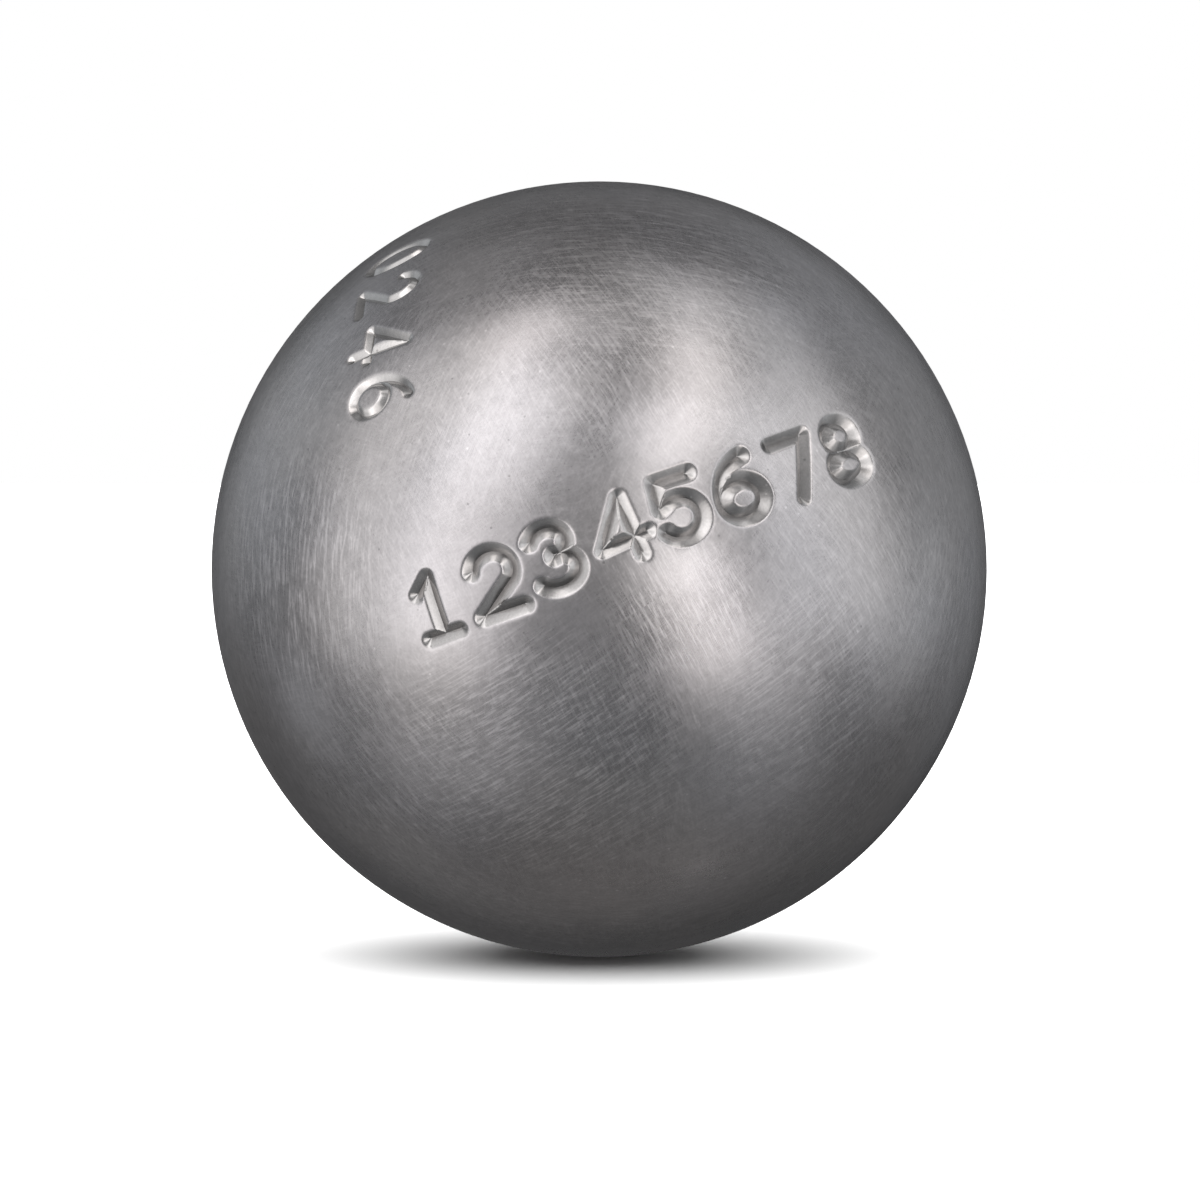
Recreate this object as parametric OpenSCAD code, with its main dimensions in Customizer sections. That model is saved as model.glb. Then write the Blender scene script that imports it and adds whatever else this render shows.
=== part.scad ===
// Petanque boule: a hollow steel ball of the smallest official size.
// Two pressed and turned steel domes face each other across a narrow root gap.
// A ring weld in two passes joins them: the root bead closes the gap and swells
// into the cavity, and the cap bead fills the vee and is turned flush with the ball.
// The origin is the ball's centre, +Z is up and -Y is the front. The weld lies in
// the XZ plane, so the Y axis runs through the middle of both domes.

/* [Ball] */
// Outer diameter of the finished ball
ball_d = 65; // [65:0.5:80]
// Thickness of the steel wall, which sets the weight of the ball
wall = 7.22; // [6:0.02:8]

/* [Edge preparation] */
// Opening between the two domes where the weld starts
root_gap = 1; // [0.5:0.1:1.6]
// Height of the square edge left below the bevel of each dome
root_land = 1.5; // [0.8:0.1:2]
// Slope of each bevelled edge, from the plane of the weld
bevel_angle = 30; // [20:1:35]

/* [Weld] */
// Height of the root bead above the square edges
root_fill = 2; // [1.2:0.1:2.8]
// Depth of the hollow that the root bead leaves under the cap bead
bead_dish = 0.35; // [0.1:0.05:0.6]
// Width of the root bead where it swells into the cavity
bead_w = 3.6; // [2.8:0.1:5]
// Height of the root bead inside the cavity
bead_h = 0.8; // [0.4:0.1:1.2]

/* [Hidden] */
$fn = 128;

steel_grey = [0.53, 0.53, 0.54];
weld_grey = [0.60, 0.60, 0.61];
heat_tint = [0.36, 0.33, 0.32];

// Cuts run past the surfaces that they open by this much
overrun = 1;

ball_r = ball_d / 2;
cavity_r = ball_r - wall;
land_r = cavity_r + root_land;
pass_r = land_r + root_fill;
mouth_r = ball_r + overrun;

// Half the width of the weld vee at radius r
function vee_half_w(r) = root_gap / 2 + (r - land_r) * tan(bevel_angle);

// Radius of the arc that is w wide and h high
function arc_r(w, h) = (w * w / 4 + h * h) / (2 * h);

// The profiles below lie right of the ball's axis: x is the distance from the
// axis, and y the height above the plane of the weld.

// Everything between the axis and radius r
module within_radius(r) {
    translate([0, -mouth_r]) square([r, 2 * mouth_r]);
}

// The outline of a ball of radius r, from the axis outwards
module half_disc(r) {
    intersection() {
        circle(r = r);
        within_radius(mouth_r);
    }
}

// The vee between the two bevelled edges, open past the ball's surface
module vee_profile() {
    polygon([
        [land_r, -vee_half_w(land_r)],
        [mouth_r, -vee_half_w(mouth_r)],
        [mouth_r, vee_half_w(mouth_r)],
        [land_r, vee_half_w(land_r)]
    ]);
}

// The hollow top of the root bead, where the cap bead sits
module dish_profile() {
    dish_r = arc_r(2 * vee_half_w(pass_r + bead_dish), bead_dish);
    translate([pass_r - bead_dish + dish_r, 0]) circle(r = dish_r);
}

// The arc that the root bead swells to inside the cavity
module swell_profile() {
    swell_r = arc_r(bead_w, bead_h);
    bead_foot_r = sqrt(cavity_r * cavity_r - bead_w * bead_w / 4);
    intersection() {
        translate([bead_foot_r - bead_h + swell_r, 0]) circle(r = swell_r);
        half_disc(cavity_r);
    }
}

module dome_profile() {
    difference() {
        half_disc(ball_r);
        circle(r = cavity_r);
        translate([0, root_gap / 2 - 2 * mouth_r]) square(2 * mouth_r);
        vee_profile();
    }
}

module root_bead_profile() {
    swell_profile();
    difference() {
        intersection() {
            union() {
                vee_profile();
                translate([0, -root_gap / 2]) square([land_r, root_gap]);
            }
            within_radius(pass_r);
        }
        circle(r = cavity_r);
        dish_profile();
    }
}

module cap_bead_profile() {
    difference() {
        intersection() {
            vee_profile();
            half_disc(ball_r);
        }
        difference() {
            within_radius(pass_r);
            dish_profile();
        }
    }
}

// Turns a profile about the ball's Y axis, its upper side to the front
module turned_about_y() {
    rotate([90, 0, 0]) rotate_extrude() children();
}

module front_half_shell() {
    color(steel_grey) turned_about_y() dome_profile();
}

module rear_half_shell() {
    color(steel_grey) mirror([0, 1, 0]) turned_about_y() dome_profile();
}

module root_weld_bead() {
    color(heat_tint) turned_about_y() root_bead_profile();
}

module cap_weld_bead() {
    color(weld_grey) turned_about_y() cap_bead_profile();
}

front_half_shell();
rear_half_shell();
root_weld_bead();
cap_weld_bead();
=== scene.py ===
"""A petanque boule of brushed steel with two rows of struck digits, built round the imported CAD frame.

The ball lies on a white floor. Its front half shell is remade here with the digits struck into it. The other
nodes keep their CAD meshes: the rear half shell and the cap bead get the same steel, and the root bead inside
the ball a darker one. All lengths below are in millimetres, and all angles in degrees, unless a name says
otherwise. The scene itself is in metres.
"""
import math

import bpy
import numpy as np
from mathutils import Matrix, Vector
from mathutils.geometry import delaunay_2d_cdt


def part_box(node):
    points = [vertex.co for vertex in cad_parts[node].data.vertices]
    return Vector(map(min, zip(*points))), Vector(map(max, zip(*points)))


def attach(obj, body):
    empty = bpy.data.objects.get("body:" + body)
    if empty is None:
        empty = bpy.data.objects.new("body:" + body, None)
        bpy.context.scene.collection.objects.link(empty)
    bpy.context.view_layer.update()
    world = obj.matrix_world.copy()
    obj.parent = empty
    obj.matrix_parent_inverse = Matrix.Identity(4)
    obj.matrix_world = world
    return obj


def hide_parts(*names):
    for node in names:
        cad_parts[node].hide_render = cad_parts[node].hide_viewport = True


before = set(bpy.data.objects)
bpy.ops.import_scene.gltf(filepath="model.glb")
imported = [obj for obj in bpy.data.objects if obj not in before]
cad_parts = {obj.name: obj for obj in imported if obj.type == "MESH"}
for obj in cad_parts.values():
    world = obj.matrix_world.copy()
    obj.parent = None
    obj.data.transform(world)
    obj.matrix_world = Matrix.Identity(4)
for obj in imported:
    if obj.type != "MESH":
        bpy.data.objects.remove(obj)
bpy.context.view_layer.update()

MM = 0.001

# The ball's radius, and half the widths of the root gap and of the weld band, read from the frame
BALL_R = -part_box("front_half_shell")[0].y / MM
GAP_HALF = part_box("rear_half_shell")[0].y / MM
BAND_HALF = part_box("cap_weld_bead")[1].y / MM
# The shells' wall, and the part of it next to the cavity that ends square
WALL = 7.22
LAND = 1.5
CAVITY_R = BALL_R - WALL
LAND_R = CAVITY_R + LAND
# A length that is safe to divide by where there is none, and one beyond any real distance
NEARLY_ZERO = 1e-6
FAR = 1e9

# The photograph's camera, with pixels in the 1200 pixel square frame
FRAME_PX = 1200
BALL_PX = (599.2, 569.1)
BALL_R_PX = 387.8
CAMERA_ELEVATION = 3.2
CAMERA_DISTANCE = 600
SENSOR = 36
CLIP_M = (0.05, 50)


def from_front(azimuth, elevation):
    """The unit vector from the ball towards a bearing. Azimuth 0 is the camera's side and 90 is its right."""
    a, e = math.radians(azimuth), math.radians(elevation)
    return Vector((math.cos(e) * math.sin(a), -math.cos(e) * math.cos(a), math.sin(e)))


# Where the camera lies from the ball, and how it is turned
TO_CAMERA = from_front(0, CAMERA_ELEVATION)
CAMERA_TURN = (-TO_CAMERA).to_track_quat("-Z", "Y")


def on_ball(px, py):
    """The point on the ball's front that the photograph shows at this pixel."""
    x, y = (px - BALL_PX[0]) / BALL_R_PX, (BALL_PX[1] - py) / BALL_R_PX
    return (CAMERA_TURN @ Vector((x, y, math.sqrt(1 - x * x - y * y)))) * BALL_R


def add_camera():
    """A camera that shows the ball at its place and size in the photograph."""
    half_view = math.asin(BALL_R / CAMERA_DISTANCE)
    data = bpy.data.cameras.new("camera")
    data.sensor_width = SENSOR
    data.lens = SENSOR * BALL_R_PX / FRAME_PX / math.tan(half_view)
    data.clip_start, data.clip_end = CLIP_M
    camera = bpy.data.objects.new("camera", data)
    bpy.context.collection.objects.link(camera)
    mm_per_px = BALL_R / BALL_R_PX
    aside = Vector((FRAME_PX / 2 - BALL_PX[0], BALL_PX[1] - FRAME_PX / 2, 0)) * mm_per_px
    camera.rotation_mode = "QUATERNION"
    camera.rotation_quaternion = CAMERA_TURN
    camera.location = (TO_CAMERA * CAMERA_DISTANCE + CAMERA_TURN @ aside) * MM
    bpy.context.scene.camera = camera


def arc(cx, cy, rx, ry, start, end, steps=36):
    """Points along part of an ellipse."""
    angles = np.radians(np.linspace(start, end, steps))
    return [(cx + rx * math.cos(a), cy + ry * math.sin(a)) for a in angles]


# The struck digits, each stroke a line down the middle of its groove, in a box one unit high and this wide
DIGIT_WIDTH = 0.74
DIGITS = {
    "0": [arc(0.35, 0.5, 0.35, 0.5, 0, 360, 64)],
    "1": [[(0.12, 0.76), (0.38, 1), (0.38, 0)], [(0.1, 0), (0.66, 0)]],
    "2": [arc(0.37, 0.68, 0.34, 0.32, 165, -38) + [(0.02, 0), (0.74, 0)]],
    "3": [arc(0.35, 0.75, 0.3, 0.25, 150, -85) + arc(0.35, 0.27, 0.35, 0.27, 85, -150)],
    "4": [[(0.56, 0), (0.56, 1), (0, 0.3), (0.78, 0.3)]],
    "5": [[(0.68, 1), (0.12, 1), (0.07, 0.56)] + arc(0.35, 0.33, 0.35, 0.33, 128, -150)],
    "6": [arc(0.7, 0.32, 0.68, 0.68, 100, 180) + arc(0.37, 0.3, 0.35, 0.3, 180, 540, 60)],
    "7": [[(0.02, 1), (0.72, 1), (0.26, 0)]],
    "8": [arc(0.35, 0.75, 0.29, 0.25, -90, 270, 60), arc(0.35, 0.25, 0.35, 0.25, 90, 450, 60)],
}
# How close together the mesh's points lie down the middle of a groove
CREASE_STEP = 0.12


class Punch:
    """One digit struck into the ball: where, how deep and how it leans."""

    def __init__(self, digit, centre, up, size, groove, lean):
        height, width = size
        self.normal = centre.normalized()
        self.right = up.cross(self.normal).normalized()
        self.up = self.normal.cross(self.right)
        self.depth, self.slope = groove
        self.lean = lean
        self.strokes = []
        for stroke in DIGITS[digit]:
            line = [((x - DIGIT_WIDTH / 2) * width / DIGIT_WIDTH, (y - 0.5) * height) for x, y in stroke]
            self.strokes.append(line)

    def near(self, points, cosine):
        """Which points of the ball lie within the angle of this cosine round the punch's middle."""
        return np.flatnonzero(points @ np.array(self.normal) > BALL_R * cosine)

    def stroke_offset(self, points):
        """Each point's place right and up of the nearest point of a stroke."""
        u, v = points @ np.array(self.right), points @ np.array(self.up)
        best, best_u, best_v = np.full((3, len(points)), FAR)
        segments = [pair for stroke in self.strokes for pair in zip(stroke[:-1], stroke[1:])]
        for (x0, y0), (x1, y1) in segments:
            dx, dy = x1 - x0, y1 - y0
            t = np.clip(((u - x0) * dx + (v - y0) * dy) / (dx * dx + dy * dy), 0, 1)
            off_u, off_v = u - x0 - t * dx, v - y0 - t * dy
            distance = np.hypot(off_u, off_v)
            nearer = distance < best
            best[nearer] = distance[nearer]
            best_u[nearer] = off_u[nearer]
            best_v[nearer] = off_v[nearer]
        return best_u, best_v

    def creases(self):
        """For every stroke, points of the ball close together above its middle."""
        lines = []
        for stroke in self.strokes:
            flat = [stroke[0]]
            for start, end in zip(stroke[:-1], stroke[1:]):
                steps = math.ceil(math.dist(start, end) / CREASE_STEP)
                flat += np.linspace(start, end, steps + 1)[1:].tolist()
            flat = np.array(flat)
            out = np.sqrt(BALL_R ** 2 - (flat ** 2).sum(1, keepdims=True))
            lines.append(np.hstack([flat, out]) @ np.array([self.right, self.up, self.normal]))
        return lines

    def bite(self, points, off_u, off_v):
        """How far the punch's face lies below the ball at each point, given its place off the strokes."""
        depth = self.depth * np.sqrt(np.maximum((points @ np.array(self.normal)) / BALL_R, 0))
        return depth - self.slope * np.hypot(off_u, off_v) - self.lean[0] * off_u - self.lean[1] * off_v


# How far off true a punch is struck at most: its tilt, its place across and along the row, depth and lean
TILT = 5
OFF_ACROSS = 0.2
OFF_ALONG = 0.15
DEPTH_SHARES = (0.88, 1.12)
OFF_LEAN = 0.04


def row_of_punches(digits, ends_px, size, groove, lean, seed):
    """Digits struck along a great circle between two pixels, each a little off true."""
    rng = np.random.default_rng(seed)
    first, last = [on_ball(*end) for end in ends_px]
    axis = first.cross(last).normalized()
    whole = first.angle(last)
    punches = []
    for i, digit in enumerate(digits):
        centre = Matrix.Rotation(whole * i / (len(digits) - 1), 3, axis) @ first
        along = axis.cross(centre).normalized()
        tilt = Matrix.Rotation(math.radians(rng.uniform(-TILT, TILT)), 3, centre)
        up = tilt @ centre.cross(along).normalized()
        off_up = up * rng.uniform(-OFF_ACROSS, OFF_ACROSS)
        centre = centre + off_up + along * rng.uniform(-OFF_ALONG, OFF_ALONG)
        depth = groove[0] * rng.uniform(*DEPTH_SHARES)
        own_lean = lean + rng.uniform(-OFF_LEAN, OFF_LEAN, 2)
        punches.append(Punch(digit, centre, up, size, (depth, groove[1]), own_lean))
    return punches


# Each row: its first and last digit's middle, the digits' height and width, the grooves' depth and slope
LARGE_ENDS_PX = ((441, 605), (836, 455))
LARGE_SIZE = (4.9, 3.75)
LARGE_GROOVE = (0.60, 0.78)
SMALL_ENDS_PX = ((401.5, 262), (387.5, 402))
SMALL_SIZE = (5.4, 3.1)
SMALL_GROOVE = (0.36, 0.72)
# The large punches lean, so their upper walls are the steeper ones
LARGE_LEAN = np.array([-0.03, 0.09])
SMALL_LEAN = np.zeros(2)
PUNCHES = row_of_punches("12345678", LARGE_ENDS_PX, LARGE_SIZE, LARGE_GROOVE, LARGE_LEAN, seed=11)
PUNCHES += row_of_punches("0246", SMALL_ENDS_PX, SMALL_SIZE, SMALL_GROOVE, SMALL_LEAN, seed=9)
# How far a groove's lip is rounded, and what is taken off the depth so that the rounding comes to an end
LIP_SOFT = 0.09
LIP_TAIL = 0.01
# Cosines of the angles round a punch's middle that hold its groove, and all of the finer mesh round it
GROOVE_COS = 0.985
FINE_COS = 0.96


def struck(points):
    """How far each point of the ball is moved in."""
    sink = np.zeros(len(points))
    for punch in PUNCHES:
        near = punch.near(points, GROOVE_COS)
        bite = punch.bite(points[near], *punch.stroke_offset(points[near]))
        rounded = (bite + np.sqrt(bite ** 2 + LIP_SOFT ** 2)) / 2 - LIP_TAIL
        sink[near] = np.maximum(sink[near], rounded)
    return sink


# The lattices that the front surface is made on: each one's spacing, and how near a stroke its points lie
WHOLE_DOME = 99
LATTICES = ((0.96, WHOLE_DOME), (0.48, 3.2), (0.24, 2), (0.12, 1.1))
# The finest one lies along the creases and the lips alone
FINE_SPACING = 0.06
FINE_CREASE = 0.08
FINE_LIP = 0.13
# Lattice points keep this far from the middle of a groove, and no two share a cell of this fine a grid
CREASE_CLEAR = 0.03
CELLS_PER_MM = 100
# Points of the flattened dome that lie closer together than this become one
MERGE = 1e-6
RIM_POINTS = 240
RIM_ANGLES = np.arange(RIM_POINTS) * 2 * math.pi / RIM_POINTS
CAVITY_RINGS = 24
# A point that is sunk by less than this is shaded as part of the sphere
UNTOUCHED = 0.0005
# Edges sharper than this are shaded as edges
SHARP_ANGLE = 62


def dome_point(a, b):
    """The point on the ball that lies at arc lengths a right and b up of the front pole."""
    angle = np.hypot(a, b) / BALL_R
    share = np.sinc(angle / math.pi)
    return np.stack([a * share, -BALL_R * np.cos(angle), b * share], -1)


def flat_point(points):
    """dome_point the other way round: the arc lengths right and up of the front pole."""
    angle = np.arccos(np.clip(-points[:, 1] / BALL_R, -1, 1))
    across = np.maximum(np.hypot(points[:, 0], points[:, 2]), NEARLY_ZERO)
    return points[:, [0, 2]] * (BALL_R * angle / across)[:, None]


def stroke_distance(points):
    """How far each point lies from the nearest stroke, and in depth from the nearest groove's lip."""
    best = np.full(len(points), FAR)
    lip = np.full(len(points), FAR)
    for punch in PUNCHES:
        near = punch.near(points, FINE_COS)
        offset = punch.stroke_offset(points[near])
        best[near] = np.minimum(best[near], np.hypot(*offset))
        lip[near] = np.minimum(lip[near], np.abs(punch.bite(points[near], *offset)))
    return best, lip


def lattice(spacing, reach):
    """Points of one triangular lattice over the flattened dome."""
    row_share = math.sqrt(0.75)
    rows = int(reach / (spacing * row_share)) + 1
    cols = int(reach / spacing) + 1
    j, i = np.mgrid[-rows:rows + 1, -cols - rows:cols + rows + 1]
    a = (i + j / 2) * spacing
    b = j * spacing * row_share
    keep = np.hypot(a, b) < reach
    return a[keep], b[keep]


def lattice_points(reach):
    """Points of all the lattices together, finer near the strokes."""
    found = []
    seen = set()
    for spacing, near in LATTICES + ((FINE_SPACING, 0),):
        a, b = lattice(spacing, reach)
        if near != WHOLE_DOME:
            stroke, lip = stroke_distance(dome_point(a, b))
            keep = stroke < near if near else (stroke < FINE_CREASE) | (lip < FINE_LIP)
            keep &= stroke > CREASE_CLEAR
            a, b = a[keep], b[keep]
        for point in zip(a, b):
            cell = round(point[0] * CELLS_PER_MM), round(point[1] * CELLS_PER_MM)
            if cell not in seen:
                seen.add(cell)
                found.append(point)
    return found


def crease_lines():
    """Points along the bottom of every groove, and the edges between them."""
    points = []
    edges = []
    for punch in PUNCHES:
        for line in punch.creases():
            edges += [(len(points) + i, len(points) + i + 1) for i in range(len(line) - 1)]
            points += flat_point(line).tolist()
    return points, edges


def dome_mesh():
    """The struck dome's points with those of its rim first, its triangles, and how far each point is sunk."""
    reach = BALL_R * math.acos(BAND_HALF / BALL_R)
    rim = [(reach * math.cos(t), reach * math.sin(t)) for t in RIM_ANGLES]
    creases, edges = crease_lines()
    edges = [(RIM_POINTS + i, RIM_POINTS + j) for i, j in edges]
    flat = [Vector(p) for p in rim + creases + lattice_points(reach - LATTICES[0][0] / 2)]
    flat, _, faces, *_ = delaunay_2d_cdt(flat, edges, [], 0, MERGE)
    dome = dome_point(*np.array([tuple(p) for p in flat]).T)
    sink = struck(dome)
    return dome * (1 - sink / BALL_R)[:, None], [tuple(face) for face in faces], sink


def ring(radius, y):
    """Points on a circle round the ball's Y axis, from the right and on towards the top."""
    return np.stack([radius * np.cos(RIM_ANGLES), np.full(RIM_POINTS, y), radius * np.sin(RIM_ANGLES)], -1)


def inner_rings():
    """The rings from the bevel inwards: both edges of the square land, then the cavity nearly to its pole."""
    foot_r = math.sqrt(CAVITY_R ** 2 - GAP_HALF ** 2)
    rings = [ring(LAND_R, -GAP_HALF), ring(foot_r, -GAP_HALF)]
    start = math.asin(GAP_HALF / CAVITY_R)
    for k in range(1, CAVITY_RINGS):
        angle = start + (math.pi / 2 - start) * k / CAVITY_RINGS
        rings.append(ring(CAVITY_R * math.cos(angle), -CAVITY_R * math.sin(angle)))
    return rings


def front_shell_mesh():
    """The front half shell as one closed mesh: struck dome, bevelled edge, square land and cavity."""
    dome, faces, sink = dome_mesh()
    dome_faces = len(faces)
    rings = inner_rings()
    points = np.concatenate([dome] + rings + [[(0, -CAVITY_R, 0)]])
    firsts = [0] + [len(dome) + k * RIM_POINTS for k in range(len(rings))]
    for first, second in zip(firsts[:-1], firsts[1:]):
        for i in range(RIM_POINTS):
            j = (i + 1) % RIM_POINTS
            faces.append((first + j, first + i, second + i, second + j))
    last, pole = firsts[-1], len(points) - 1
    faces += [(last + (i + 1) % RIM_POINTS, last + i, pole) for i in range(RIM_POINTS)]
    return points, faces, dome_faces, sink


def round_off(mesh, points, dome_faces, sink):
    """Shades the untouched dome as a true sphere, so that it runs on into the weld band and the back."""
    corners = np.empty(len(mesh.loops), dtype=np.int32)
    mesh.loops.foreach_get("vertex_index", corners)
    starts = np.empty(len(mesh.polygons), dtype=np.int32)
    mesh.polygons.foreach_get("loop_start", starts)
    untouched = np.zeros(len(points), dtype=bool)
    untouched[:len(sink)] = np.abs(sink) < UNTOUCHED
    on_dome = untouched[corners] & (np.arange(len(corners)) < starts[dome_faces])
    outward = points[corners] / np.linalg.norm(points[corners], axis=1)[:, None]
    mesh.normals_split_custom_set((outward * on_dome[:, None]).tolist())


def add_front_shell():
    """The front half shell with its struck digits, in the place of the plain CAD one."""
    points, faces, dome_faces, sink = front_shell_mesh()
    mesh = bpy.data.meshes.new("struck_front_half_shell")
    mesh.from_pydata((points * MM).tolist(), [], faces)
    mesh.update()
    mesh.polygons.foreach_set("use_smooth", [True] * len(faces))
    mesh.set_sharp_from_angle(angle=math.radians(SHARP_ANGLE))
    round_off(mesh, points, dome_faces, sink)
    sinks = mesh.attributes.new("sink", "FLOAT", "POINT")
    sinks.data.foreach_set("value", np.concatenate([sink, np.zeros(len(points) - len(sink))]))
    shell = bpy.data.objects.new("struck_front_half_shell", mesh)
    bpy.context.collection.objects.link(shell)
    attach(shell, "root")
    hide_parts("front_half_shell")
    return shell


class Nodes:
    """Adds nodes with short calls. An input is a number, a colour or another node's output."""

    def __init__(self, owner):
        owner.use_nodes = True
        self.tree = owner.node_tree

    def add(self, kind, inputs=(), **settings):
        """A new node of this kind, with its inputs fed and its settings made."""
        node = self.tree.nodes.new(kind)
        for name, value in settings.items():
            setattr(node, name, value)
        for name, value in dict(inputs).items():
            self.feed(node.inputs[name], value)
        return node

    def feed(self, socket, value):
        """Links the value to the socket, or sets it there."""
        if isinstance(value, bpy.types.NodeSocket):
            self.tree.links.new(value, socket)
        else:
            socket.default_value = value

    def math(self, operation, a, b=0.0):
        return self.add("ShaderNodeMath", {0: a, 1: b}, operation=operation).outputs[0]

    def times(self, a, b):
        return self.math("MULTIPLY", a, b)

    def minus(self, a, b):
        return self.math("SUBTRACT", a, b)

    def size_of(self, value):
        return self.math("ABSOLUTE", value)

    def sum(self, values):
        total = values[0]
        for value in values[1:]:
            total = self.math("ADD", total, value)
        return total

    def ramp(self, value, low, high, to_low=0.0, to_high=1.0):
        """The value's way from low to high, eased, as a number from to_low to to_high."""
        inputs = {"Value": value, "From Min": low, "From Max": high, "To Min": to_low, "To Max": to_high}
        return self.add("ShaderNodeMapRange", inputs, interpolation_type="SMOOTHSTEP").outputs["Result"]

    def noise(self, place, size, detail=2.0):
        """Noise from 0 to 1 with features about this many millimetres across."""
        inputs = {"Vector": place, "Scale": 1 / size, "Detail": detail}
        return self.add("ShaderNodeTexNoise", inputs).outputs["Fac"]

    def uneven(self, place, size, detail=2.0):
        """The same noise from -0.5 to 0.5."""
        return self.minus(self.noise(place, size, detail), 0.5)

    def mix(self, factor, a, b):
        """The colour a at a factor of 0 and b at 1."""
        inputs = {"Factor": factor, "A": a, "B": b}
        return self.add("ShaderNodeMix", inputs, data_type="RGBA").outputs["Result"]

    def scaled(self, vector, factor):
        return self.add("ShaderNodeVectorMath", {0: vector, "Scale": factor}, operation="SCALE").outputs[0]

    def split(self, vector):
        """The vector's X, Y and Z."""
        return self.add("ShaderNodeSeparateXYZ", {0: vector}).outputs

    def place(self):
        """The shaded point's place from the ball's middle, in millimetres."""
        return self.scaled(self.add("ShaderNodeTexCoord").outputs["Object"], 1 / MM)

    def attribute(self, name):
        """A number that the mesh holds for each of its points."""
        return self.add("ShaderNodeAttribute", attribute_name=name).outputs["Fac"]


# The ways the ball was brushed. Each patch: its place in the photograph, which way its lines rise there,
# how far it reaches, the lines' length and width, and how strong they are.
PATCHES = {
    "low_hatch": ((540, 755), 34, 11, 2.6, 0.29, 1.6),
    "steep_right": ((680, 612), -58, 5.5, 2.4, 0.29, 2.0),
    "steep_low": ((620, 700), -60, 7, 2.0, 0.26, 0.8),
    "steep_top": ((625, 340), -50, 11, 2.2, 0.30, 1.0),
    "top_hatch": ((650, 260), 176, 13, 2.6, 0.38, 1.0),
    "rising_right": ((800, 700), 40, 9, 3.0, 0.31, 1.1),
    "left_arcs": ((300, 575), 92, 10, 3.0, 0.46, 1.5),
    "upper_left": ((470, 370), 65, 14, 2.2, 0.30, 0.5),
    "right_face": ((850, 540), 125, 10, 2.4, 0.32, 0.7),
    "right_limb": ((935, 600), 78, 8, 3.0, 0.42, 0.6),
    "low_left": ((400, 760), 135, 9, 2.4, 0.38, 1.0),
    "left_shoulder": ((315, 375), 60, 7, 2.6, 0.34, 0.7),
}
# A patch's lines are at full strength within the first share of its reach, and have faded at the second
PATCH_SHARES = (0.3, 1.3)
# Elsewhere they are faint, but a little stronger where drifting clouds come near the patch's own level
FAINT_LINES = 0.08
CLOUD_LINES = 0.3
CLOUD_NEAR = 0.02
CLOUD_OFF = 0.1
# The clouds' size, the first patch's level and the step to the next one's
CLOUD_SIZE = 12
FIRST_LEVEL = 0.35
LEVEL_STEP = 0.05
# The noise that is drawn out into lines: its slant and roughness, and the ramp that makes lines of it
LINE_SLANT = 0.6
LINE_ROUGHNESS = 0.85
LINE_RAMP = (0.42, 0.74, -0.22, 0.78)
# The lathe's rings round the Y axis: their lines' length and width, and between which shares of the way out
# they fade from the first strength to the second
TURNED_LINES = (4.0, 0.34)
TURNED_SHARES = (0.45, 0.8)
TURNED_STRENGTHS = (0.45, 0.1)


def along_photo(point, rise):
    """The direction on the ball here that the photograph shows rising at this angle to the right."""
    turn = math.radians(rise)
    wanted = CAMERA_TURN @ Vector((math.cos(turn), math.sin(turn), 0))
    return (wanted - TO_CAMERA * wanted.dot(point) / TO_CAMERA.dot(point)).normalized()


def brushing(nodes, place, axis, length, width):
    """Fine lines in rings round this axis through the ball's middle, evened out so that they average 0."""
    turn = axis.to_track_quat("Z", "Y").to_euler()
    turned = nodes.add("ShaderNodeMapping", {"Vector": place, "Rotation": turn}, vector_type="TEXTURE")
    split = nodes.split(turned.outputs["Vector"])
    along = nodes.times(nodes.math("ARCTAN2", split["Y"], split["X"]), BALL_R / length)
    across = nodes.math("DIVIDE", split["Z"], width)
    staggered = nodes.math("ADD", along, nodes.times(across, LINE_SLANT))
    unrolled = nodes.add("ShaderNodeCombineXYZ", {"X": staggered, "Y": across}).outputs[0]
    inputs = {"Vector": unrolled, "Scale": 1.0, "Detail": 2.0, "Roughness": LINE_ROUGHNESS}
    texture = nodes.add("ShaderNodeTexNoise", inputs, noise_dimensions="2D")
    return nodes.ramp(texture.outputs["Fac"], *LINE_RAMP)


def toward(nodes, place, centre):
    """The cosine of the angle between a place on the ball and this point, seen from the ball's middle."""
    inputs = {0: place, 1: centre / BALL_R ** 2}
    return nodes.add("ShaderNodeVectorMath", inputs, operation="DOT_PRODUCT").outputs["Value"]


def patch_lines(nodes, place, clouds, own_level, patch):
    """One patch's lines. The same patch lies on the far side of the ball too."""
    centre_px, rise, reach, length, width, strength = patch
    centre = on_ball(*centre_px)
    lines = brushing(nodes, place, centre.cross(along_photo(centre, rise)), length, width)
    full, gone = [math.cos(share * reach / BALL_R) for share in PATCH_SHARES]
    near = nodes.ramp(nodes.size_of(toward(nodes, place, centre)), gone, full, 0, strength)
    off_level = nodes.size_of(nodes.minus(clouds, own_level))
    elsewhere = nodes.ramp(off_level, CLOUD_NEAR, CLOUD_OFF, CLOUD_LINES, FAINT_LINES)
    return nodes.times(lines, nodes.math("MAXIMUM", near, elsewhere))


def turned_lines(nodes, place):
    """The rings that the lathe left, which fade towards the poles."""
    lines = brushing(nodes, place, Vector((0, 1, 0)), *TURNED_LINES)
    start, end = [BALL_R * share for share in TURNED_SHARES]
    off_middle = nodes.size_of(nodes.split(place)["Y"])
    return nodes.times(lines, nodes.ramp(off_middle, start, end, *TURNED_STRENGTHS))


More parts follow.
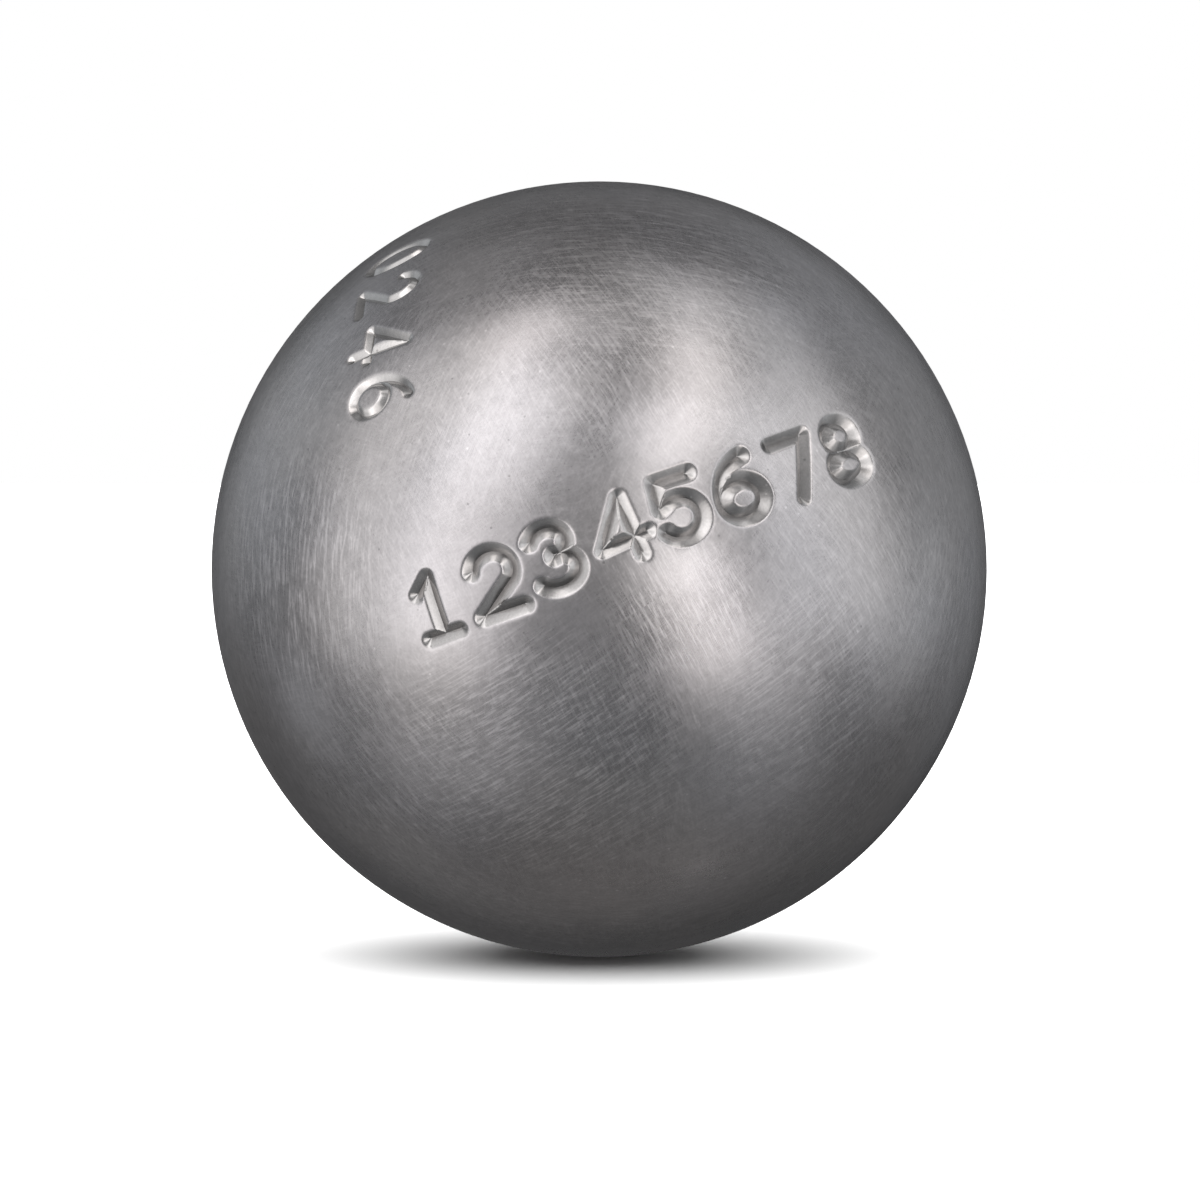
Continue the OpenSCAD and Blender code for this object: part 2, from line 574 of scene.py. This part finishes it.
def brushed_lines(nodes, place):
    """All the brushing together, about 0 on average."""
    clouds = nodes.noise(place, CLOUD_SIZE, 0)
    sets = []
    for number, patch in enumerate(PATCHES.values()):
        own_level = FIRST_LEVEL + LEVEL_STEP * number
        sets.append(patch_lines(nodes, place, clouds, own_level, patch))
    sets.append(turned_lines(nodes, place))
    return nodes.sum(sets)


# Small pits and nicks: how far apart they lie, their radius, and the draws below which a spot is a pit and
# above which it is a nick
FLECKS_APART = 1.5
FLECK_R = 0.14
FLECK_DRAWS = (0.2, 0.8)


def flecks(nodes, place):
    """Scattered small spots, from -1 for dark pits to 1 for bright nicks."""
    cells = nodes.add("ShaderNodeTexVoronoi", {"Vector": place, "Scale": 1 / FLECKS_APART}).outputs
    radius_share = FLECK_R / FLECKS_APART
    spot = nodes.ramp(cells["Distance"], radius_share, radius_share / 2)
    chance = nodes.add("ShaderNodeSeparateColor", {0: cells["Color"]}).outputs["Red"]
    return nodes.times(spot, nodes.ramp(chance, *FLECK_DRAWS, -1, 1))


# The steel's colours: two that drift into each other, the grooves, the small digits' grooves and the inside
STEEL_COOL = (0.492, 0.48, 0.492, 1)
STEEL_WARM = (0.506, 0.49, 0.492, 1)
STEEL_GROOVE = (0.52, 0.51, 0.505, 1)
# A brighter steel for the small digits' grooves: a painted highlight
STEEL_PAINTED_HIGHLIGHT = (0.66, 0.648, 0.64, 1)
STEEL_INSIDE = (0.1, 0.098, 0.11, 1)
# The tint of what it mirrors at a glancing angle
EDGE_TINT = (0.75, 0.75, 0.75, 1)
# The size of the drift, and the levels of noise between which one colour goes over into the other
COLOUR_DRIFT = 17
DRIFT_LEVELS = (0.35, 0.65)
# The sizes of the finish's clouds, mottle and grain, and how much each part of the finish changes the tone
CLOUDS = 9
MOTTLE = 1.1
GRAIN = 0.2
LINES_TONE = 0.3
CLOUDS_TONE = 0.14
MOTTLE_TONE = 0.24
GRAIN_TONE = 0.15
FLECKS_TONE = 0.3
# The depths at which a groove counts as one and as a deep one, and the darker tone down there, a painted
# shade
GROOVE_DEPTH = 0.12
DEEP_DEPTH = 0.6
DEEP_PAINTED_SHADE = 0.78
# The skin's and the grooves' roughness, and how much the lines, clouds, small digits and inside change it
SKIN_ROUGH = 0.29
GROOVE_ROUGH = 0.22
LINES_ROUGH = 0.07
CLOUDS_ROUGH = 0.12
SMALL_GROOVE_SMOOTHING = 0.05
INSIDE_ROUGH = 0.2
# How far the grain stands out
GRAIN_RELIEF = 0.002
# The depths between which the inside's finish gives way to the outside's, and what still counts as skin
INSIDE_DEPTH = 2
OUTSIDE_DEPTH = 1.2
SKIN_DEPTH = 0.1
# Painted highlight in the small digits' grooves: the middle of their row, the reach round it and its edge
SMALL_ROW_PX = (395, 332)
SMALL_ROW_REACH = 14
SMALL_ROW_SHARES = (0.9, 1.1)


def in_small_row(nodes, place):
    """1 round the row of small digits and 0 elsewhere."""
    full, gone = [math.cos(share * SMALL_ROW_REACH / BALL_R) for share in SMALL_ROW_SHARES]
    return nodes.ramp(toward(nodes, place, on_ball(*SMALL_ROW_PX)), gone, full)


def steel_colour(nodes, place, groove, painted_highlight, inside):
    """The steel's colour before the finish changes its tone."""
    drift = nodes.ramp(nodes.noise(place, COLOUR_DRIFT, 1), *DRIFT_LEVELS)
    colour = nodes.mix(drift, STEEL_COOL, STEEL_WARM)
    colour = nodes.mix(groove, colour, STEEL_GROOVE)
    # Painted highlight: the small digits' grooves are made brighter
    colour = nodes.mix(painted_highlight, colour, STEEL_PAINTED_HIGHLIGHT)
    return nodes.mix(inside, colour, STEEL_INSIDE)


def steel_tone(nodes, place, sink, lines, clouds, grain):
    """What the colour is multiplied by, about 1 on average."""
    return nodes.sum([
        # Painted shade: the colour darkens towards the bottom of deep grooves
        nodes.ramp(sink, GROOVE_DEPTH, DEEP_DEPTH, 1, DEEP_PAINTED_SHADE),
        nodes.times(lines, LINES_TONE),
        nodes.times(clouds, CLOUDS_TONE),
        nodes.times(nodes.uneven(place, MOTTLE), MOTTLE_TONE),
        nodes.times(grain, GRAIN_TONE),
        nodes.times(flecks(nodes, place), FLECKS_TONE),
    ])


def brushed_steel():
    """Satin carbon steel: crossed brushing, grain, small nicks, smoother struck grooves and a dark inside."""
    material = bpy.data.materials.new("brushed_steel")
    nodes = Nodes(material)
    shader = nodes.tree.nodes["Principled BSDF"]
    place = nodes.place()
    radius = nodes.add("ShaderNodeVectorMath", {0: place}, operation="LENGTH").outputs["Value"]
    inside = nodes.ramp(radius, BALL_R - INSIDE_DEPTH, BALL_R - OUTSIDE_DEPTH, 1, 0)
    sink = nodes.attribute("sink")
    groove = nodes.ramp(sink, 0, GROOVE_DEPTH)
    outside = nodes.minus(1, groove)
    # The small digits' grooves, which carry a painted highlight and are a little smoother
    painted_highlight = nodes.times(groove, in_small_row(nodes, place))
    lines = nodes.times(brushed_lines(nodes, place), outside)
    clouds = nodes.uneven(place, CLOUDS)
    grain = nodes.uneven(place, GRAIN, 0)

    colour = steel_colour(nodes, place, groove, painted_highlight, inside)
    tone = steel_tone(nodes, place, sink, lines, clouds, grain)
    nodes.feed(shader.inputs["Base Color"], nodes.scaled(colour, tone))
    shader.inputs["Metallic"].default_value = 1
    shader.inputs["Specular Tint"].default_value = EDGE_TINT

    skin = nodes.sum([SKIN_ROUGH, nodes.times(lines, LINES_ROUGH), nodes.times(clouds, CLOUDS_ROUGH)])
    rough = nodes.math("ADD", nodes.times(skin, outside), nodes.times(groove, GROOVE_ROUGH))
    rough = nodes.minus(rough, nodes.times(painted_highlight, SMALL_GROOVE_SMOOTHING))
    nodes.feed(shader.inputs["Roughness"], nodes.math("ADD", rough, nodes.times(inside, INSIDE_ROUGH)))

    inputs = {"Height": grain, "Distance": GRAIN_RELIEF * MM, "Normal": round_back(nodes, place, radius)}
    nodes.feed(shader.inputs["Normal"], nodes.add("ShaderNodeBump", inputs).outputs["Normal"])
    return material


def round_back(nodes, place, radius):
    """The surface's own normal, but a true sphere's on the outside of the weld band and the rear half."""
    behind = nodes.math("GREATER_THAN", nodes.split(place)["Y"], -BAND_HALF)
    on_skin = nodes.times(behind, nodes.math("GREATER_THAN", radius, BALL_R - SKIN_DEPTH))
    own = nodes.add("ShaderNodeNewGeometry").outputs["Normal"]
    outward = nodes.add("ShaderNodeVectorTransform", {0: place}, vector_type="NORMAL", convert_to="WORLD")
    mixed = nodes.add("ShaderNodeMix", {0: on_skin, 4: own, 5: outward.outputs[0]}, data_type="VECTOR")
    return nodes.add("ShaderNodeVectorMath", {0: mixed.outputs[1]}, operation="NORMALIZE").outputs[0]


# The root bead: two heat tints and their size, its ripples' length, sag, height and tone, and its roughness
WELD_STRAW = (0.22, 0.17, 0.14, 1)
WELD_BLUE = (0.13, 0.14, 0.19, 1)
TINT_SIZE = 5
RIPPLE = 1.6
RIPPLE_SAG = 0.5
RIPPLE_HEIGHT = 0.08
RIPPLE_TONE = 0.15
WELD_ROUGH = 0.42


def weld_steel():
    """The bead left as it was run inside the ball: dark, heat-tinted and rippled along its way round."""
    material = bpy.data.materials.new("weld_steel")
    nodes = Nodes(material)
    shader = nodes.tree.nodes["Principled BSDF"]
    place = nodes.place()
    split = nodes.split(place)
    round_way = nodes.times(nodes.math("ARCTAN2", split["Z"], split["X"]), LAND_R)
    sagged = nodes.math("ADD", round_way, nodes.times(nodes.math("POWER", split["Y"], 2), RIPPLE_SAG))
    ripple = nodes.math("SINE", nodes.times(sagged, 2 * math.pi / RIPPLE))
    tint = nodes.ramp(nodes.noise(place, TINT_SIZE), *DRIFT_LEVELS)
    tone = nodes.math("ADD", 1, nodes.times(ripple, RIPPLE_TONE))
    colour = nodes.mix(tint, WELD_STRAW, WELD_BLUE)
    nodes.feed(shader.inputs["Base Color"], nodes.scaled(colour, tone))
    shader.inputs["Metallic"].default_value = 1
    shader.inputs["Roughness"].default_value = WELD_ROUGH
    bump = nodes.add("ShaderNodeBump", {"Height": ripple, "Distance": RIPPLE_HEIGHT * MM})
    nodes.feed(shader.inputs["Normal"], bump.outputs["Normal"])
    return material


def give(node, material):
    """Puts the material on a node that keeps its CAD mesh."""
    for material_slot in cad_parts[node].material_slots:
        material_slot.material = material


# The studio. The steel sees a dim grey room with soft panels of light in it, and a lamp lights the floor.
ROOM_R = 1500
ROOM_STEP = 4
# The room is tipped forward, so that its panels are placed as from a camera this much higher
ROOM_TIP = 2.3
# The share of the room's light that reaches the floor by way of the ball
FLOOR_SHARE = 0.08
# Elevation, and the room's own level and warmth there
ROOM_LEVELS = ((-90, 0.16, 0.8), (-50, 0.15, -0.1), (-15, 0.15, 0), (60, 0.18, 0), (90, 0.22, 0))
# Each panel: azimuth, elevation, width, height, softness of its edges, level, roll, and warmth from -1 to 1.
# A level below 0 takes light away.
PANELS = {
    "left_softbox_top": (-34, 44, 27, 40, 10, 1.2, -6, 0.4),
    "left_softbox_foot": (-42, 0, 32, 46, 14, 0.95, -14, 0.6),
    "left_softbox_wide": (-66, 20, 48, 77, 22, 0.81, 0, 0.2),
    "left_overhead": (-64, 70, 15, 20, 8, 1.4, 0, 1),
    "overhead": (0, 82, 16, 16, 8, 0.5, 0, 0.3),
    "front_overhead": (-14, 70, 24, 14, 10, 0.24, 0, 0.5),
    "right_strip": (22, 25, 17, 52, 8, 1.45, 0, 0.3),
    "right_strip_top": (43, 54, 14, 36, 10, 1.4, -35, 0.8),
    "right_strip_foot": (31, -8, 22, 35, 12, 1.4, 15, 0.8),
    "right_overhead": (90, 68, 26, 12, 12, 0.85, 0, 0.2),
    "right_softbox": (71, 18, 46, 61, 18, 0.8, 0, -0.1),
    "right_softbox_inner": (56, 36, 22, 40, 14, 0.3, 0, 0.2),
    "right_softbox_edge": (108, -3, 24, 24, 16, 0.24, 0, -1),
    "right_low_fill": (54, -24, 32, 26, 18, 0.42, 0, 0.3),
    "right_floor": (97, -17, 32, 20, 18, 0.24, 0, -0.4),
    "left_low_fill": (-54, -38, 44, 36, 30, 0.29, 0, 0.6),
    "front_wall": (-9, 10, 36, 90, 30, 0.14, 0, 0),
    "front_floor": (0, -60, 120, 50, 40, 0.07, 0, -1),
    "front_low": (-6, -32, 40, 20, 16, 0.03, 0, -1),
    "left_wall": (-126, 16, 48, 42, 30, 0.34, 0, -1),
    "left_wall_foot": (-108, -24, 18, 16, 16, 0.3, 0, -0.5),
    "right_wall": (134, 14, 46, 60, 30, 0.19, 0, -1),
    "rear_wall": (180, 20, 60, 40, 40, 0.02, 0, -1),
    "rear_overhead": (125, 75, 22, 12, 10, 0.36, 0, 0),
    "rear_floor": (-178, -30, 50, 30, 30, -0.045, 0, 0),
    "rear_top_edge": (180, 29, 44, 12, 10, 0.065, 0, -1),
    "left_rear_edge": (-166, 9, 42, 24, 14, -0.07, 0, 1),
    "right_rear_top": (106, 52, 28, 12, 12, 0.46, 0, -0.5),
    "right_rear_edge": (165, -3, 28, 34, 16, -0.08, 0, 0),
    "left_rear_top": (-138, 58, 24, 16, 14, 0.16, 0, 0),
    "right_low_foot": (68, -46, 36, 18, 18, 0.11, 0, 0),
    "left_rear_floor": (-120, -48, 60, 24, 24, 0.05, 0, 0),
    "rear_under": (160, -72, 80, 28, 30, 0.025, 0, 1),
    "rear_under_limb": (180, -50, 50, 20, 20, -0.04, 0, 0),
}
# The colours of the room's light at a warmth of -1 and 1
COOL = (0.96, 1, 1.04, 1)
WARM = (1.04, 0.994, 0.976, 1)


def eased_edge(offset, half, soft):
    """1 inside a panel's half width and 0 outside it, eased over the soft edge."""
    share = np.clip((half + soft / 2 - np.abs(offset)) / soft, 0, 1)
    return share * share * (3 - 2 * share)


def panel_glow(directions, azimuth, elevation, width, height, soft, level, roll):
    """The panel's light in each direction, in degrees away from its middle."""
    centre = from_front(azimuth, elevation)
    right = from_front(azimuth + 90, 0)
    turn = Matrix.Rotation(math.radians(roll), 3, centre)
    right, up = turn @ right, turn @ centre.cross(right)
    x, y = directions @ np.array(right), directions @ np.array(up)
    away = np.degrees(np.arccos(np.clip(directions @ np.array(centre), -1, 1)))
    spread = away / np.maximum(np.hypot(x, y), NEARLY_ZERO)
    return level * eased_edge(x * spread, width / 2, soft) * eased_edge(y * spread, height / 2, soft)


def room_sphere():
    """Directions all round the ball, with the nadir and the zenith last, and the faces between them."""
    azimuths = np.radians(np.arange(0, 360, ROOM_STEP))
    elevations = np.radians(np.arange(-90 + ROOM_STEP, 90, ROOM_STEP))
    elevation, azimuth = np.meshgrid(elevations, azimuths, indexing="ij")
    level = np.cos(elevation)
    directions = np.stack([level * np.sin(azimuth), -level * np.cos(azimuth), np.sin(elevation)], -1)
    directions = np.concatenate([directions.reshape(-1, 3), [(0, 0, -1), (0, 0, 1)]])
    count, rows = len(azimuths), len(elevations)
    top, nadir, zenith = (rows - 1) * count, rows * count, rows * count + 1
    faces = []
    for row in range(rows - 1):
        for i in range(count):
            j = (i + 1) % count
            faces.append((row * count + i, row * count + j, (row + 1) * count + j, (row + 1) * count + i))
    for i in range(count):
        j = (i + 1) % count
        faces.append((i, j, nadir))
        faces.append((top + j, top + i, zenith))
    return directions, faces


def room_glow(directions):
    """The room's light in each direction, and how warm it is there."""
    heights, levels, warmths = zip(*ROOM_LEVELS)
    height = np.degrees(np.arcsin(directions[:, 2]))
    glow = np.interp(height, heights, levels)
    warmth = glow * np.interp(height, heights, warmths)
    for *panel, warm in PANELS.values():
        light = panel_glow(directions, *panel)
        glow = glow + light
        warmth = warmth + light * warm
    return glow, warmth / glow


def room_light():
    """Light as the mesh's glow and warmth say, dimmed where it goes on to the floor."""
    material = bpy.data.materials.new("room_light")
    nodes = Nodes(material)
    nodes.tree.nodes.clear()
    off_floor = nodes.math("LESS_THAN", nodes.add("ShaderNodeLightPath").outputs["Diffuse Depth"], 1)
    level = nodes.times(nodes.attribute("glow"), nodes.math("MAXIMUM", off_floor, FLOOR_SHARE))
    tint = nodes.mix(nodes.ramp(nodes.attribute("warmth"), -1, 1), COOL, WARM)
    light = nodes.add("ShaderNodeEmission", {"Color": tint, "Strength": level})
    nodes.add("ShaderNodeOutputMaterial", {"Surface": light.outputs[0]})
    return material


def add_room():
    """A grey sphere round the ball with the panels' light on it, which only shiny surfaces see."""
    directions, faces = room_sphere()
    glow, warmth = room_glow(directions)
    mesh = bpy.data.meshes.new("grey_room")
    mesh.from_pydata((directions * ROOM_R * MM).tolist(), [], faces)
    mesh.attributes.new("glow", "FLOAT", "POINT").data.foreach_set("value", glow)
    mesh.attributes.new("warmth", "FLOAT", "POINT").data.foreach_set("value", warmth)
    mesh.materials.append(room_light())
    room = bpy.data.objects.new("grey_room", mesh)
    bpy.context.collection.objects.link(room)
    room.rotation_euler.x = math.radians(ROOM_TIP)
    room.visible_camera = False
    room.visible_diffuse = False
    room.visible_shadow = False
    room.visible_volume_scatter = False


# The lamp's width and its height above the ball's middle, in metres, and its brightness
CEILING_SIZE_M = 4
CEILING_HEIGHT_M = 1
CEILING_LIGHT = 0.8


def add_ceiling():
    """One wide soft lamp overhead that lights the floor evenly."""
    data = bpy.data.lights.new("ceiling", "AREA")
    data.size = CEILING_SIZE_M
    data.energy = CEILING_LIGHT * math.pi * data.size ** 2
    ceiling = bpy.data.objects.new("ceiling", data)
    bpy.context.collection.objects.link(ceiling)
    ceiling.location = (0, 0, CEILING_HEIGHT_M)
    ceiling.visible_camera = False
    ceiling.visible_glossy = False


# The backdrop as it is seen, and as it lights everything else
WHITE = (1, 1, 1, 1)
BACKDROP_DIM = (0.2, 0.2, 0.2, 1)
# The floor's paper, and the same lifted for the camera, so that it runs out to white
PAPER = (0.8, 0.8, 0.8, 1)
PAPER_SEEN = (2.7, 2.7, 2.7, 1)
# Half the floor's side, in metres
FLOOR_HALF_M = 1


def seen_white(nodes):
    """White to the camera, to mirrors and to glass, and a dim grey to everything else."""
    rays = nodes.add("ShaderNodeLightPath").outputs
    shiny = nodes.math("MAXIMUM", rays["Is Glossy Ray"], rays["Is Transmission Ray"])
    return nodes.mix(nodes.math("MAXIMUM", rays["Is Camera Ray"], shiny), BACKDROP_DIM, WHITE)


def add_backdrop():
    """A world that shows as a white background."""
    world = bpy.data.worlds.new("white_backdrop")
    bpy.context.scene.world = world
    nodes = Nodes(world)
    nodes.feed(nodes.tree.nodes["Background"].inputs["Color"], seen_white(nodes))


def white_paper():
    """Matt paper that is lifted to white for the camera."""
    material = bpy.data.materials.new("white_paper")
    nodes = Nodes(material)
    nodes.tree.nodes.clear()
    to_camera = nodes.add("ShaderNodeLightPath").outputs["Is Camera Ray"]
    paper = nodes.add("ShaderNodeBsdfDiffuse", {"Color": nodes.mix(to_camera, PAPER, PAPER_SEEN)})
    nodes.add("ShaderNodeOutputMaterial", {"Surface": paper.outputs[0]})
    return material


def add_floor():
    """The floor that the ball lies on. It holds the ball's shadow and isn't mirrored in the ball."""
    half = FLOOR_HALF_M
    mesh = bpy.data.meshes.new("floor")
    corners = [(-half, -half, 0), (half, -half, 0), (half, half, 0), (-half, half, 0)]
    mesh.from_pydata(corners, [], [(0, 1, 2, 3)])
    mesh.materials.append(white_paper())
    floor = bpy.data.objects.new("floor", mesh)
    bpy.context.collection.objects.link(floor)
    floor.location = (0, 0, -BALL_R * MM)
    floor.visible_glossy = False


# The whole scene
add_camera()
front_shell = add_front_shell()
steel = brushed_steel()
front_shell.data.materials.append(steel)
give("rear_half_shell", steel)
give("cap_weld_bead", steel)
give("root_weld_bead", weld_steel())
add_room()
add_ceiling()
add_backdrop()
add_floor()
bpy.context.scene.view_settings.view_transform = "Standard"
